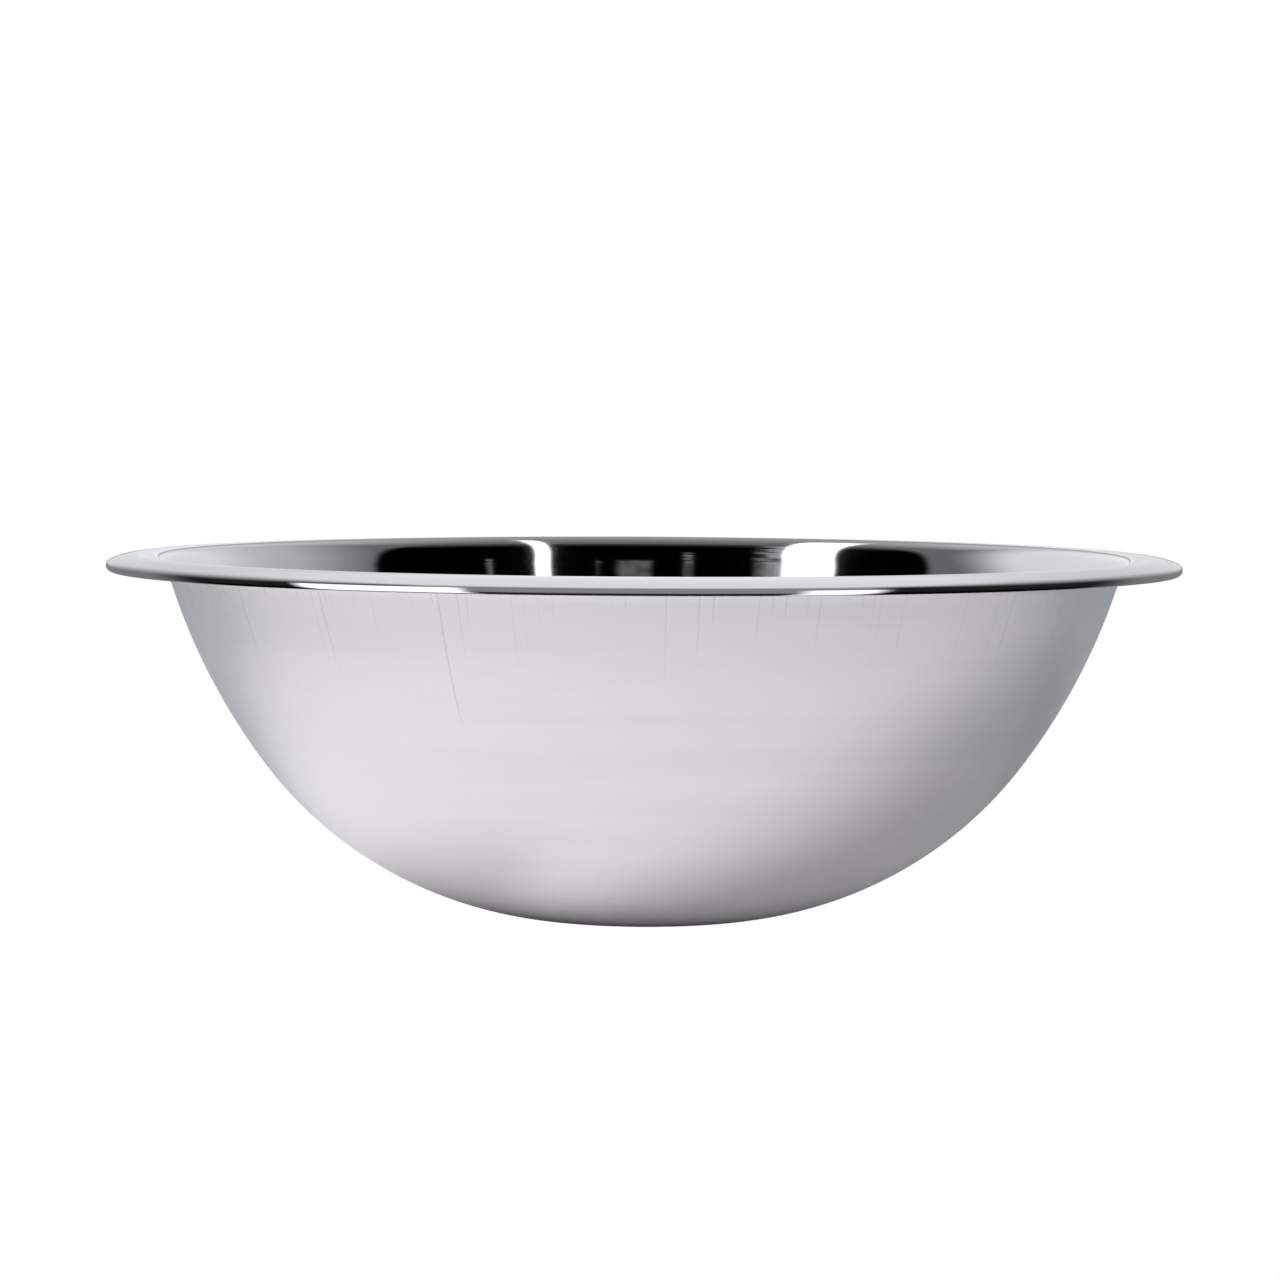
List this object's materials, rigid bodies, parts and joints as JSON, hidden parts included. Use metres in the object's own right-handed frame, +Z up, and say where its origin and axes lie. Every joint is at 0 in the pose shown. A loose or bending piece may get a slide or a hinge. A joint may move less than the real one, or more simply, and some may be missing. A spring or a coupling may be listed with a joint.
{
  "type": "mixing bowl",
  "caption": "Wide shallow steel mixing bowl, spun from one sheet, with a flared brim, a rolled edge and a small flat base.",
  "frame": {"origin": "centre of the flat underside of the base", "axes": "+Z up, along the bowl's axis of revolution; +X and +Y are interchangeable"},
  "size_m": [0.3359, 0.336, 0.1143],
  "materials": {
    "bowl_steel": "satin outside with fine draw marks below the brim, mirror polished inside, polished brim and rolled edge"
  },
  "bodies": {
    "root": {"bowl_shell": "bowl_steel"}
  },
  "joints": []
}
